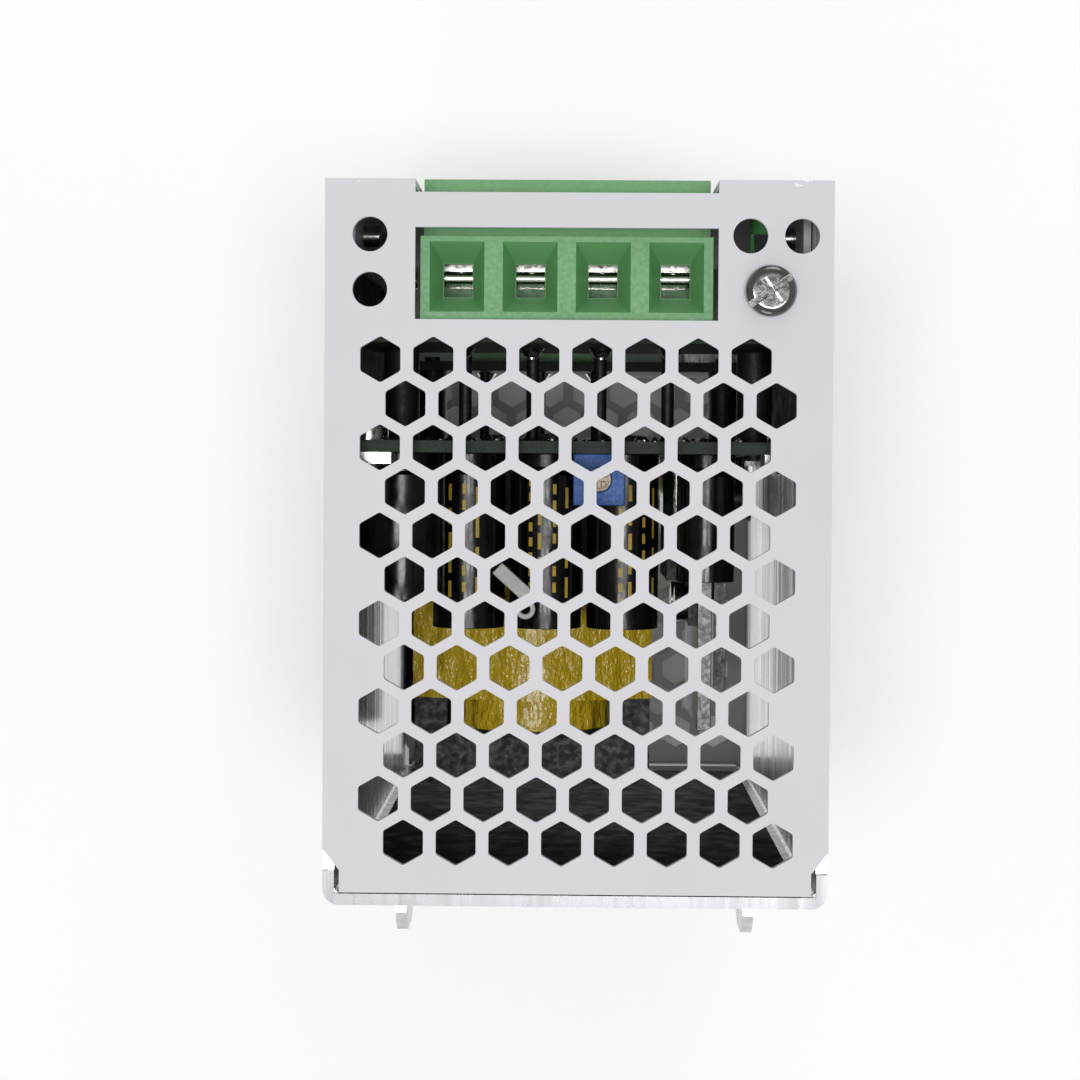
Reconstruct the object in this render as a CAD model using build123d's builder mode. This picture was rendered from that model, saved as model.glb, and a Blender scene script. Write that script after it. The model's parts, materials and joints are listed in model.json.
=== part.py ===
from build123d import *
import math
import os

# DIN rail power supply, in millimetres, as it hangs on an upright rail.
# +Z is up, X is across the width and +Y points at the rail, so the front panel faces -Y.
# The origin is the middle of the rail's width, on the outer face of the chassis base.

# ---------------------------------------------------------------- driving sizes
width = 65.5                 # outside, across X
height = 125.2               # outside, along Z
body_depth = 94.0            # front panel to the outside of the base, along Y
rail_to_top = 37.5           # middle of the rail to the top end

cover_wall = 1.0
cover_bend = 1.3             # outside bend radius of the painted cover
cover_base_gap = 1.7         # the end faces stop this far short of the base's outer face
cover_corner_inset = 2.2     # lower corners of each end face
cover_corner_slope = 2.8
cover_corner_height = 2.9
cover_return = 6.0           # flange turned in along the base
cover_return_inset = 3.2
cover_side_flange = 8.0      # strips turned back inside the side walls
cover_side_flange_end_gap = 13.0
chassis_wall = 1.5
chassis_bend = 2.2           # outside bend radius of the base corners
sheet_gap = 0.15             # between cover and chassis
base_end_gap = 0.3           # the base stops this far short of the end faces
film_thick = 0.4

# vents in both end faces
vent_flat = 5.2              # hexagon across flats
vent_corner = 0.5
vent_pitch = 6.83
vent_row_pitch = 5.68
vent_first_row = 23.25       # behind the front panel
vent_end_margin = 7.0        # last row to the outside of the base, at least
vent_side_margin = 5.0
end_hole_radius = 2.25
end_hole_depth = 7.15        # hole centres behind the front panel
end_hole_second_depth = 14.25
end_hole_share = 0.224       # half spacing of the paired holes over their strip

# DIN rail: 35 mm wide, lips 1 mm thick, and the parts of the unit that grip it
rail_width = 35.0
rail_lip = 1.0
rail_play = 0.4
hook_thick = 1.5
hook_x = 23.3
hook_reach = 6.0             # beyond the base
hook_root = 9.0
hook_bite = 3.3              # over the rail's lip
latch_bite = 3.2
latch_travel = 5.0
latch_thick = 1.5
latch_gap = 0.2
latch_half_width = 9.0
latch_head_half_width = 16.0
latch_head = 5.0             # height of its wide head
latch_end_gap = 4.0          # its lower end above the unit's lower end
ear_width = 7.0
ear_overlap = 2.6
spring_radius = 2.2
spring_wire = 0.6
spring_length = 19.0
spring_turns = 9
tab_thick = 1.5

# boards
board_thick = 1.6
terminal_board_depth = 19.2  # its front face behind the front panel
main_board_room = 57.3       # from its component face to the base's inner face
main_board_end_gap = 4.0
terminal_board_end_gap = 4.0
terminal_board_length = 28.0
board_side_gap = 0.45
board_tab_reach = 6.7
board_tab_width = 8.0
board_tab_end_gap = 9.5      # tab centre from the end faces' outer plane
spacer_radius = 2.5
spacer_pin_radius = 1.3
hole_gap = 0.1               # radial, round pins and screws that stay put

# terminals
pole_pitch = 9.5
output_x = 1.6               # middle of the output terminals
input_x = 6.35               # middle of the input terminals
output_modules = 2
output_module_poles = 2
input_poles = 3
entry_recess = 2.6           # entry face behind the end's outer face
entry_top = 7.1              # ledge over the wire entries, behind the front panel
tower_proud = 1.1            # tower top in front of the front panel
tower_setback = 7.0
terminal_length = 18.5
terminal_cut_gap = 0.53
terminal_cut_top = 6.2
terminal_cut_bottom = 18.05
notch_depth = 1.7
funnel_mouth = (7.1, 9.1)
funnel_throat = (3.9, 4.5)
funnel_length = 3.6
funnel_mouth_depth = 12.35
throat_depth = 12.6
wire_hole = (3.8, 4.4)
screw_setback = 12.5         # screw axis behind the entry face
cage_travel = 3.3
screw_pitch = 0.6
screw_shank_radius = 1.72
screw_run_gap = 0.05
screw_head_radius = 3.0
screw_head_thick = 2.4
screw_head_depth = 1.7
cage_half_width = 3.05
cage_wall = 0.8
cage_half_length = 3.0
cage_top_depth = 9.4
cage_top_thick = 1.6
cage_bottom_thick = 0.9
cage_gap = 0.2
bar_depth = 11.6
bar_thick = 1.0
bar_half_width = 1.9
bar_lip_radius = 0.7
leg_wall = 0.7               # plastic between the cage and the contact's leg
contact_pin_radius = 0.7
contact_pin_proud = 1.5

solder_radius = 1.3
solder_height = 1.1

# parts on the main board; "from_top" and "from_bottom" are measured from the end faces
trimmer_x = -2.9
trimmer_size = 6.9
trimmer_thick = 4.5
trimmer_from_top = 10.0
rotor_radius = 1.6
rotor_run_gap = 0.05
rotor_thick = 1.0
rotor_sunk = 0.2             # its face below the trimmer's face
rotor_slot = (2.4, 0.5, 0.5)      # length, width and depth of its cross slot
output_cap_radius = 5.1
output_cap_length = 24.6
output_cap_x = 4.4
output_cap_gap = 0.7         # between neighbouring cans
output_cap_from_top = 30.0
cap_groove_height = 2.4      # rolled groove above the board
cap_groove_radius = 0.55
filter_cap_radius = 6.0
filter_cap_length = 20.0
filter_cap_from_top = 20.5
small_cap_radius = 4.0
small_cap_length = 17.5
small_cap_x = -17.8
small_cap_from_top = 21.5
core_x = 6.5
core_from_top = 54.0
core_width = 35.4
core_thick = 11.3
core_leg = 4.9
core_back = 7.5
core_centre_radius = 5.65
core_stand = 8.1             # core above the board
core_base_gap = 7.7          # core to the base's inner face
bobbin_wall = 0.9
bobbin_gap = 0.15
winding_radius = 11.9
tape_thick = 0.35
tape_width = 15.4
heatsink_thick = 2.0
heatsink_stand = 1.6
output_sink_x = -18.4
output_sink_from_top = 32.0
output_sink_length = 36.0
sink_base_gap = 17.8
input_sink_x = -23.0
input_sink_from_bottom = 30.0
input_sink_length = 26.0
device_width = 10.0
device_thick = 4.5
device_body = 9.0
device_tab = 6.5
device_tab_thick = 1.3
device_stand = 9.0
lead_radius = 0.4
bulk_cap_radius = 12.5
bulk_cap_base_gap = 13.3
bulk_cap_from_bottom = 43.7
choke_x = 10.0
choke_from_bottom = 20.0
choke_ring = (10.0, 5.5, 8.0)      # outside radius, inside radius, height
choke_wire = 1.4

# ---------------------------------------------------------------- worked-out places
z_top = rail_to_top
z_bottom = rail_to_top - height
z_middle = (z_top + z_bottom) / 2
y_front = -body_depth
half_width = width / 2
inner_x = half_width - chassis_wall
base_inner_y = -chassis_wall
film_y = base_inner_y - film_thick
main_board_y = base_inner_y - main_board_room          # component face
main_board_front = main_board_y - board_thick          # solder face
component_room = film_y - main_board_y
board_half = inner_x - film_thick - board_side_gap

output_poles = output_modules * output_module_poles
output_half = output_poles * pole_pitch / 2
input_half = input_poles * pole_pitch / 2
output_pole_x = [output_x + output_half - (i + 0.5) * pole_pitch for i in range(output_poles)]
input_pole_x = [input_x + input_half - (i + 0.5) * pole_pitch for i in range(input_poles)]

# the two strips of the end face beside the output cut-out
cut_low = output_x - output_half - terminal_cut_gap
cut_high = output_x + output_half + terminal_cut_gap
strip_low = (cut_low - half_width) / 2
strip_high = (cut_high + half_width) / 2
strip_low_width = half_width + cut_low
end_screw_x = strip_low + 0.05 * strip_low_width
end_tab_top = 10.5
end_tab_bottom = terminal_board_depth - 0.3

fixing_radius = 1.5          # M3 screws inside the unit
fixing_head_radius = 2.7
fixing_head_thick = 1.8
end_screw_radius = 1.75
end_screw_head_radius = 3.3
end_screw_head_thick = 2.3
end_screw_length = 7.0
cover_screw_depth = 5.0
cover_screw_from_end = 25.0
countersink_radius = 2.8

led_radius = 1.5
led_x = strip_low
led_z = z_top - 24.0

pin_depth = terminal_board_depth + board_thick + contact_pin_proud

os.makedirs("parts", exist_ok=True)


# ---------------------------------------------------------------- small helpers
def behind(depth):
    """Y of a point this far behind the front panel's face."""
    return y_front + depth


def inward(end, depth):
    """Z of a point this far inside an end of the unit; end is +1 at the top, -1 at the bottom."""
    return z_top - depth if end > 0 else z_bottom + depth


def block(x_span, y_span, z_span, mode=Mode.ADD):
    """A box between three pairs of limits."""
    spans = (x_span, y_span, z_span)
    with Locations(tuple((a + b) / 2 for a, b in spans)):
        Box(*(abs(b - a) for a, b in spans), mode=mode)


def rod(start, direction, radius, length, mode=Mode.ADD):
    """A cylinder from a start point along a direction."""
    with Locations(Plane(origin=start, z_dir=direction).location):
        Cylinder(radius, length, align=(Align.CENTER, Align.CENTER, Align.MIN), mode=mode)


def finish(builder, label):
    """Name a finished piece and write it."""
    builder.part.label = label
    export_step(builder.part, f"parts/{label}.step")


FRONT = (0, -1, 0)
BACK = (0, 1, 0)

# ---------------------------------------------------------------- chassis
chassis_low = z_bottom + base_end_gap
chassis_high = z_top - base_end_gap
wall_front = y_front + cover_wall + sheet_gap
wall_end = cover_wall + sheet_gap                      # side walls behind the end faces
corner_depth = body_depth - cover_base_gap - cover_corner_height
board_screw_x = inner_x - board_tab_reach / 2
ear_x = latch_half_width + latch_gap
latch_low = z_bottom + latch_end_gap
latch_top = -rail_width / 2 - rail_play
ear_z = [latch_top - latch_head - latch_travel - 1.5 - ear_width / 2, z_bottom + 16.0]
spring_y = latch_gap + spring_radius + 0.6
tab_reach = spring_y + spring_radius
spring_low = (latch_top + latch_low) / 2 - spring_length / 2 - 6.0
spring_high = spring_low + spring_length

with BuildPart() as chassis:
    with BuildSketch(Plane.XY.offset(chassis_low)):
        with Locations((0, (wall_front + 0) / 2)):
            Rectangle(width, -wall_front)
        with Locations((0, (wall_front + base_inner_y) / 2)):
            Rectangle(2 * inner_x, base_inner_y - wall_front, mode=Mode.SUBTRACT)
    extrude(amount=chassis_high - chassis_low)
    outside = chassis.edges().filter_by(Axis.Z).group_by(Axis.Y)[-1]
    fillet(outside, chassis_bend)
    inside = chassis.edges().filter_by(Axis.Z).filter_by_position(
        Axis.Y, base_inner_y - 0.01, base_inner_y + 0.01)
    fillet(inside, chassis_bend - chassis_wall)
    for end in (1, -1):
        # side walls tuck in behind the cover's end faces, all but their lower corners
        block((-width, width), (y_front, behind(corner_depth + sheet_gap)),
              (inward(end, -1), inward(end, wall_end)), mode=Mode.SUBTRACT)
        block((-inner_x, inner_x), (y_front, base_inner_y),
              (inward(end, -1), inward(end, wall_end)), mode=Mode.SUBTRACT)
        # end tab that takes the earth screw
        block((-inner_x - chassis_wall / 2, end_screw_x + 5.0), (behind(end_tab_top), behind(end_tab_bottom)),
              (inward(end, wall_end), inward(end, wall_end + chassis_wall)))
        rod((end_screw_x, behind(end_hole_second_depth), inward(end, 0)), (0, 0, -end),
            end_screw_radius + hole_gap / 2, 8, mode=Mode.SUBTRACT)
        for side in (1, -1):
            # tab under the main board, with the window it was lanced from
            tab_z = inward(end, board_tab_end_gap)
            block((side * (inner_x - board_tab_reach), side * (inner_x + chassis_wall / 2)),
                  (main_board_y, main_board_y + chassis_wall),
                  (tab_z - board_tab_width / 2, tab_z + board_tab_width / 2))
            block((side * (inner_x - 0.01), side * (half_width + 1)),
                  (main_board_y + chassis_wall, main_board_y + chassis_wall + board_tab_reach),
                  (tab_z - board_tab_width / 2, tab_z + board_tab_width / 2), mode=Mode.SUBTRACT)
            rod((side * board_screw_x, main_board_y, tab_z), BACK,
                fixing_radius + hole_gap / 2, chassis_wall, mode=Mode.SUBTRACT)
            # countersunk holes for the cover screws
            hole_z = inward(end, cover_screw_from_end)
            hole_plane = Plane(origin=(side * half_width, behind(cover_screw_depth), hole_z),
                               z_dir=(side, 0, 0))
            with Locations(hole_plane.location):
                CounterSinkHole(fixing_radius + hole_gap, countersink_radius + hole_gap,
                                depth=3, counter_sink_angle=90)
    for side in (1, -1):
        # rail hook, folded out of the base, and its window
        hook_low = rail_width / 2 + rail_play
        with BuildSketch(Plane.YZ.offset(side * hook_x - hook_thick / 2)):
            with BuildLine():
                Polyline((-chassis_wall / 2, hook_low), (-chassis_wall / 2, hook_low + hook_root),
                         (hook_reach - 3, hook_low + hook_root), (hook_reach, hook_low + hook_root - 4),
                         (hook_reach, hook_low - hook_bite + 1.6), (hook_reach - 1.4, hook_low - hook_bite),
                         (rail_lip + rail_play, hook_low - hook_bite), (rail_lip + rail_play, hook_low),
                         close=True)
            make_face()
        extrude(amount=hook_thick)
        window_low = hook_x - hook_thick / 2 - hook_reach
        block((side * window_low, side * (hook_x - hook_thick / 2 - 0.3)), (base_inner_y - 0.01, 1),
              (hook_low - hook_bite, hook_low + hook_root), mode=Mode.SUBTRACT)
        # two ears each side of the latch
        for z in ear_z:
            ear_root = (side * ear_x, side * (ear_x + chassis_wall))
            ear_rise = latch_gap * 2 + latch_thick
            block(ear_root, (-chassis_wall / 2, ear_rise + chassis_wall), (z - ear_width / 2, z + ear_width / 2))
            block((side * (ear_x - ear_overlap), side * (ear_x + chassis_wall)),
                  (ear_rise, ear_rise + chassis_wall), (z - ear_width / 2, z + ear_width / 2))
            block((side * (ear_x + chassis_wall + 0.3), side * (ear_x + chassis_wall + 5)),
                  (base_inner_y - 0.01, 1), (z - ear_width / 2, z + ear_width / 2), mode=Mode.SUBTRACT)
    # tab that the latch spring pushes against
    block((-2.5, 2.5), (-chassis_wall / 2, tab_reach), (spring_low - tab_thick, spring_low))
finish(chassis, "chassis")

# ---------------------------------------------------------------- cover
cover_low_y = behind(body_depth - cover_base_gap)
vent_columns = int((width - 2 * vent_side_margin) / vent_pitch)
vent_rows = int((body_depth - vent_first_row - vent_end_margin) / vent_row_pitch) + 1
vent_row_shift = 0.478 * vent_pitch / 2

with BuildSketch() as vent:
    RegularPolygon(vent_flat / 2, 6, major_radius=False, rotation=30)
    fillet(vent.vertices(), vent_corner)

with BuildPart() as cover:
    with BuildSketch(Plane.YZ.offset(-half_width)) as cover_profile:
        with Locations(((y_front + cover_low_y) / 2, z_middle)):
            Rectangle(cover_low_y - y_front, height)
        with Locations(((y_front + cover_low_y) / 2, z_middle)):
            Rectangle(cover_low_y - y_front - 2 * cover_wall, height - 2 * cover_wall, mode=Mode.SUBTRACT)
        with Locations((cover_low_y, z_middle)):
            Rectangle(3 * cover_wall, height - 2 * (cover_return + cover_wall), mode=Mode.SUBTRACT)
        outer = [v for v in cover_profile.vertices()
                 if min(abs(v.Z - z_top), abs(v.Z - z_bottom)) < 0.01]
        fillet(outer, cover_bend)
        inner = [v for v in cover_profile.vertices()
                 if min(abs(v.Z - z_top + cover_wall), abs(v.Z - z_bottom - cover_wall)) < 0.01]
        fillet(inner, cover_bend - cover_wall)
    extrude(amount=width)
    # lower corners of the end faces, and the narrower return flanges
    for side in (1, -1):
        edge = side * half_width
        with BuildSketch(Plane.XY.offset(z_bottom - 1)):
            with BuildLine():
                corner_y = behind(corner_depth)
                Polyline((edge, corner_y - cover_corner_slope), (edge - side * cover_corner_inset, corner_y),
                         (edge - side * cover_corner_inset, cover_low_y + 1), (edge + side, cover_low_y + 1),
                         (edge + side, corner_y - cover_corner_slope), close=True)
            make_face()
        extrude(amount=height + 2, mode=Mode.SUBTRACT)
        block((edge - side * cover_return_inset, edge + side), (cover_low_y - cover_wall - 0.3, cover_low_y + 1),
              (z_bottom + cover_wall, z_top - cover_wall), mode=Mode.SUBTRACT)
    # staggered hexagonal vents through both ends
    with BuildSketch(Plane.XY.offset(z_bottom - 1)):
        for row in range(vent_rows):
            shift = vent_row_shift if row % 2 == 0 else -vent_row_shift
            for column in range(vent_columns):
                x = shift + (column - (vent_columns - 1) / 2) * vent_pitch
                with Locations((x, behind(vent_first_row + row * vent_row_pitch))):
                    add(vent.sketch)
    extrude(amount=height + 2, mode=Mode.SUBTRACT)
    # strips turned back along the inside of the side walls, with tapped holes for the cover screws
    flange_outer = inner_x - sheet_gap
    for side in (1, -1):
        block((side * (flange_outer - cover_wall), side * flange_outer),
              (y_front + cover_wall / 2, behind(cover_wall + cover_side_flange)),
              (inward(-1, cover_side_flange_end_gap), inward(1, cover_side_flange_end_gap)))
        for end in (1, -1):
            rod((side * half_width, behind(cover_screw_depth), inward(end, cover_screw_from_end)),
                (-side, 0, 0), fixing_radius + hole_gap / 2, 5, mode=Mode.SUBTRACT)
    # terminal openings: a window in each end face, and a notch through the bend into the front panel
    for end, centre, half in ((1, output_x, output_half), (-1, input_x, input_half)):
        cut = (centre - half - terminal_cut_gap, centre + half + terminal_cut_gap)
        block(cut, (behind(terminal_cut_top), behind(terminal_cut_bottom)),
              (inward(end, -1), inward(end, 2)), mode=Mode.SUBTRACT)
        block(cut, (behind(-1), behind(notch_depth)),
              (inward(end, -1), inward(end, entry_recess + terminal_length + terminal_cut_gap)),
              mode=Mode.SUBTRACT)
        # clearance hole for the earth screw
        rod((end_screw_x, behind(end_hole_second_depth), inward(end, -1)), (0, 0, -end),
            end_screw_radius + hole_gap, 3, mode=Mode.SUBTRACT)
    # round holes beside the output terminals
    for x, depth in ((strip_high, end_hole_depth), (strip_high, end_hole_second_depth),
                     (strip_low + end_hole_share * strip_low_width, end_hole_depth),
                     (strip_low - end_hole_share * strip_low_width, end_hole_depth)):
        rod((x, behind(depth), z_top + 1), (0, 0, -1), end_hole_radius, 2 + cover_wall / 2, mode=Mode.SUBTRACT)
    # hole for the indicator lamp in the front panel
    rod((led_x, behind(-1), led_z), BACK, led_radius + hole_gap, 3, mode=Mode.SUBTRACT)
finish(cover, "cover")

# ---------------------------------------------------------------- screws that hold the case together
with BuildPart() as cover_screws:
    for end in (1, -1):
        for side in (1, -1):
            screw_plane = Plane(origin=(side * half_width, behind(cover_screw_depth),
                                        inward(end, cover_screw_from_end)), z_dir=(-side, 0, 0))
            with Locations(screw_plane.location):
                Cone(countersink_radius, fixing_radius, countersink_radius - fixing_radius,
                     align=(Align.CENTER, Align.CENTER, Align.MIN))
                Cylinder(fixing_radius, 5, align=(Align.CENTER, Align.CENTER, Align.MIN))
                Box(3.4, 0.7, 1.4, mode=Mode.SUBTRACT)
                Box(0.7, 3.4, 1.4, mode=Mode.SUBTRACT)
finish(cover_screws, "cover_screws")

with BuildPart() as end_screws:
    for end in (1, -1):
        z = inward(end, 0)
        centre = (end_screw_x, behind(end_hole_second_depth), z)
        head_plane = Plane(origin=centre, z_dir=(0, 0, end))
        with BuildPart(mode=Mode.PRIVATE) as end_screw:
            with Locations(head_plane.location):
                Cylinder(end_screw_head_radius, end_screw_head_thick,
                         align=(Align.CENTER, Align.CENTER, Align.MIN))
            fillet(end_screw.edges().group_by(Axis.Z)[-1 if end > 0 else 0], 1.1)
            rod(centre, (0, 0, -end), end_screw_radius, end_screw_length)
            with Locations(head_plane.offset(end_screw_head_thick).location * Rot(0, 0, 35)):
                Box(2 * end_screw_head_radius, 0.9, 2.4, mode=Mode.SUBTRACT)
                Box(0.9, 3.8, 3.0, mode=Mode.SUBTRACT)
        add(end_screw.part)
finish(end_screws, "end_screws")

# ---------------------------------------------------------------- insulation
with BuildPart() as base_film:
    block((-board_half + 1, board_half - 1), (film_y, base_inner_y),
          (z_bottom + cover_return + 2, z_top - cover_return - 2))
finish(base_film, "base_film")

with BuildPart() as side_films:
    for side in (1, -1):
        block((side * (inner_x - film_thick), side * inner_x),
              (behind(cover_wall + cover_side_flange + 0.5), main_board_front - 0.5),
              (inward(-1, 5), inward(1, 5)))
finish(side_films, "side_films")

# ---------------------------------------------------------------- boards
spacer_x = board_half - 5.5
spacer_from_end = terminal_board_end_gap + terminal_board_length - 3.5
pin_from_end = entry_recess + screw_setback + cage_half_length + cage_gap + leg_wall + bar_thick / 2
main_board_z = (inward(-1, main_board_end_gap), inward(1, main_board_end_gap))

with BuildPart() as main_board:
    block((-board_half, board_half), (main_board_front, main_board_y), main_board_z)
    for end in (1, -1):
        for side in (1, -1):
            rod((side * board_screw_x, main_board_front - 1, inward(end, board_tab_end_gap)), BACK,
                fixing_radius + hole_gap, board_thick + 2, mode=Mode.SUBTRACT)
            rod((side * spacer_x, main_board_front - 1, inward(end, spacer_from_end)), BACK,
                spacer_pin_radius + hole_gap, board_thick + 2, mode=Mode.SUBTRACT)
finish(main_board, "main_board")


def terminal_board(end, pole_x):
    """Small board behind the terminals at one end, with holes for their pins."""
    block((-board_half + 1, board_half - 1), (behind(terminal_board_depth), behind(terminal_board_depth + board_thick)),
          (inward(end, terminal_board_end_gap), inward(end, terminal_board_end_gap + terminal_board_length)))
    for x in pole_x:
        rod((x, behind(terminal_board_depth - 1), inward(end, pin_from_end)), BACK,
            contact_pin_radius + hole_gap, board_thick + 2, mode=Mode.SUBTRACT)
    for side in (1, -1):
        rod((side * spacer_x, behind(terminal_board_depth - 1), inward(end, spacer_from_end)), BACK,
            spacer_pin_radius + hole_gap, board_thick + 2, mode=Mode.SUBTRACT)


with BuildPart() as output_board:
    terminal_board(1, output_pole_x)
finish(output_board, "output_board")

with BuildPart() as input_board:
    terminal_board(-1, input_pole_x)
finish(input_board, "input_board")

terminal_board_back = behind(terminal_board_depth + board_thick)
with BuildPart() as board_spacers:
    for end in (1, -1):
        for side in (1, -1):
            foot = (side * spacer_x, terminal_board_back, inward(end, spacer_from_end))
            rod(foot, BACK, spacer_radius, main_board_front - terminal_board_back)
            rod((foot[0], foot[1] - board_thick - 0.8, foot[2]), BACK, spacer_pin_radius,
                main_board_y - terminal_board_back + board_thick + 1.6)
finish(board_spacers, "board_spacers")

with BuildPart() as board_screws:
    for end in (1, -1):
        for side in (1, -1):
            place = (side * board_screw_x, main_board_front, inward(end, board_tab_end_gap))
            rod(place, FRONT, fixing_head_radius, fixing_head_thick)
            rod(place, BACK, fixing_radius, board_thick + chassis_wall + 1)
            with Locations((place[0], place[1] - fixing_head_thick, place[2])):
                Box(3.6, 2.0, 0.7, mode=Mode.SUBTRACT)
                Box(0.7, 2.0, 3.6, mode=Mode.SUBTRACT)
finish(board_screws, "board_screws")

link_radius = 0.9
with BuildPart() as link_wires:
    link_z = {1: inward(1, spacer_from_end - 1), -1: inward(-1, spacer_from_end - 1)}
    for end, pole_x in ((1, output_pole_x), (-1, input_pole_x)):
        for x in pole_x:
            rod((x, terminal_board_back, link_z[end]), BACK, link_radius, main_board_front - terminal_board_back)
finish(link_wires, "link_wires")


# ---------------------------------------------------------------- terminals
cage_back = screw_setback + cage_half_length + cage_gap
leg_front = cage_back + leg_wall
cavity_back = leg_front + bar_thick + 0.1
cavity_front = funnel_length + 1.2
tower_cavity_front = tower_setback + 1.2
cavity_half = cage_half_width + cage_gap
cage_bottom_depth = terminal_board_depth - 1.0
screw_ledge_top = screw_head_depth + screw_head_thick + 0.1
screw_ledge = 1.4
cavity_top_depth = screw_ledge_top + screw_ledge


def terminal_housing(end, centre_x, pole_x):
    """Green moulding: a row of wire entries on a low front part, and a tower over the screws."""
    half = len(pole_x) * pole_pitch / 2
    x_span = (centre_x - half, centre_x + half)
    block(x_span, (behind(entry_top), behind(terminal_board_depth)),
          (inward(end, entry_recess), inward(end, entry_recess + terminal_length)))
    block(x_span, (behind(-tower_proud), behind(entry_top + 1)),
          (inward(end, entry_recess + tower_setback), inward(end, entry_recess + terminal_length)))
    for x in pole_x:
        # funnel, throat and wire hole
        mouth = Plane(origin=(x, behind(funnel_mouth_depth), inward(end, entry_recess)), z_dir=(0, 0, -end))
        throat = Plane(origin=(x, behind(throat_depth), inward(end, entry_recess + funnel_length)),
                       z_dir=(0, 0, -end))
        with BuildSketch(mouth) as wide:
            Rectangle(*funnel_mouth)
        with BuildSketch(throat) as narrow:
            Rectangle(*funnel_throat)
        loft([wide.sketch, narrow.sketch], mode=Mode.SUBTRACT)
        block((x - wire_hole[0] / 2, x + wire_hole[0] / 2),
              (behind(throat_depth - wire_hole[1] / 2), behind(throat_depth + wire_hole[1] / 2)),
              (inward(end, entry_recess + funnel_length - 0.5), inward(end, entry_recess + cavity_front + 1)),
              mode=Mode.SUBTRACT)
        # space for the cage, its way up into the tower, and the screw's seat
        block((x - cavity_half, x + cavity_half), (behind(entry_top + 1.1), behind(cage_bottom_depth + cage_gap)),
              (inward(end, entry_recess + cavity_front), inward(end, entry_recess + cage_back)),
              mode=Mode.SUBTRACT)
        block((x - cavity_half, x + cavity_half), (behind(cavity_top_depth), behind(entry_top + 2)),
              (inward(end, entry_recess + tower_cavity_front), inward(end, entry_recess + cage_back)),
              mode=Mode.SUBTRACT)
        # slots for the contact bar's back end and its leg
        bar_slot = (x - bar_half_width - hole_gap, x + bar_half_width + hole_gap)
        block(bar_slot, (behind(bar_depth - hole_gap), behind(bar_depth + bar_thick + hole_gap)),
              (inward(end, entry_recess + cage_back - 1), inward(end, entry_recess + cavity_back)),
              mode=Mode.SUBTRACT)
        block(bar_slot, (behind(bar_depth), behind(cage_bottom_depth + cage_gap)),
              (inward(end, entry_recess + leg_front - hole_gap), inward(end, entry_recess + cavity_back)),
              mode=Mode.SUBTRACT)
        axis_z = inward(end, entry_recess + screw_setback)
        rod((x, behind(-tower_proud - 1), axis_z), BACK, screw_head_radius - 0.3, 6, mode=Mode.SUBTRACT)
        rod((x, behind(screw_head_depth - 0.8), axis_z), BACK, screw_head_radius + 0.2,
            screw_ledge_top - screw_head_depth + 0.8, mode=Mode.SUBTRACT)
        rod((x, behind(0), axis_z), BACK, screw_shank_radius + 0.25, cavity_top_depth + 1, mode=Mode.SUBTRACT)
        rod((x, behind(cage_bottom_depth - 1), inward(end, pin_from_end)), BACK,
            contact_pin_radius + hole_gap, 3, mode=Mode.SUBTRACT)


def terminal_contact(end, x):
    """Contact bar: a flat bar with a rolled lip towards the wire, a leg and a round solder pin."""
    front = inward(end, entry_recess + cavity_front + 0.8)
    back = inward(end, entry_recess + leg_front + bar_thick)
    block((x - bar_half_width, x + bar_half_width), (behind(bar_depth), behind(bar_depth + bar_thick)),
          (front, back))
    rod((x - bar_half_width, behind(bar_depth + 0.55), front), (1, 0, 0), bar_lip_radius, 2 * bar_half_width)
    block((x - bar_half_width, x + bar_half_width), (behind(bar_depth), behind(cage_bottom_depth)),
          (inward(end, entry_recess + leg_front), back))
    rod((x, behind(cage_bottom_depth - 1), inward(end, pin_from_end)), BACK, contact_pin_radius,
        pin_depth - cage_bottom_depth + 1)


def clamp_cage(end, x):
    """Steel clamping cage, open for the wire along Z, with a hole for the screw in its top wall."""
    z_span = (inward(end, entry_recess + screw_setback - cage_half_length),
              inward(end, entry_recess + screw_setback + cage_half_length))
    block((x - cage_half_width, x + cage_half_width), (behind(cage_top_depth), behind(cage_bottom_depth)), z_span)
    block((x - cage_half_width + cage_wall, x + cage_half_width - cage_wall),
          (behind(cage_top_depth + cage_top_thick), behind(cage_bottom_depth - cage_bottom_thick)),
          z_span, mode=Mode.SUBTRACT)
    rod((x, behind(cage_top_depth - 1), inward(end, entry_recess + screw_setback)), BACK,
        screw_shank_radius + screw_run_gap, cage_top_thick + 2, mode=Mode.SUBTRACT)


def clamp_screw(end, x):
    """Terminal screw, turned from the front."""
    axis_z = inward(end, entry_recess + screw_setback)
    rod((x, behind(screw_head_depth), axis_z), BACK, screw_head_radius, screw_head_thick)
    rod((x, behind(screw_head_depth + 1), axis_z), BACK, screw_shank_radius, bar_depth - 1.3 - screw_head_depth)
    with Locations((x, behind(screw_head_depth), axis_z)):
        Box(2 * screw_head_radius + 1, 2.4, 0.9, mode=Mode.SUBTRACT)
        Box(0.9, 3.0, 3.6, mode=Mode.SUBTRACT)


for index in range(output_modules):
    first = index * output_module_poles
    module_x = output_pole_x[first:first + output_module_poles]
    with BuildPart() as output_housing:
        terminal_housing(1, sum(module_x) / len(module_x), module_x)
    finish(output_housing, f"output_terminal_{index + 1}")

with BuildPart() as input_housing:
    terminal_housing(-1, input_x, input_pole_x)
finish(input_housing, "input_terminal")

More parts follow.
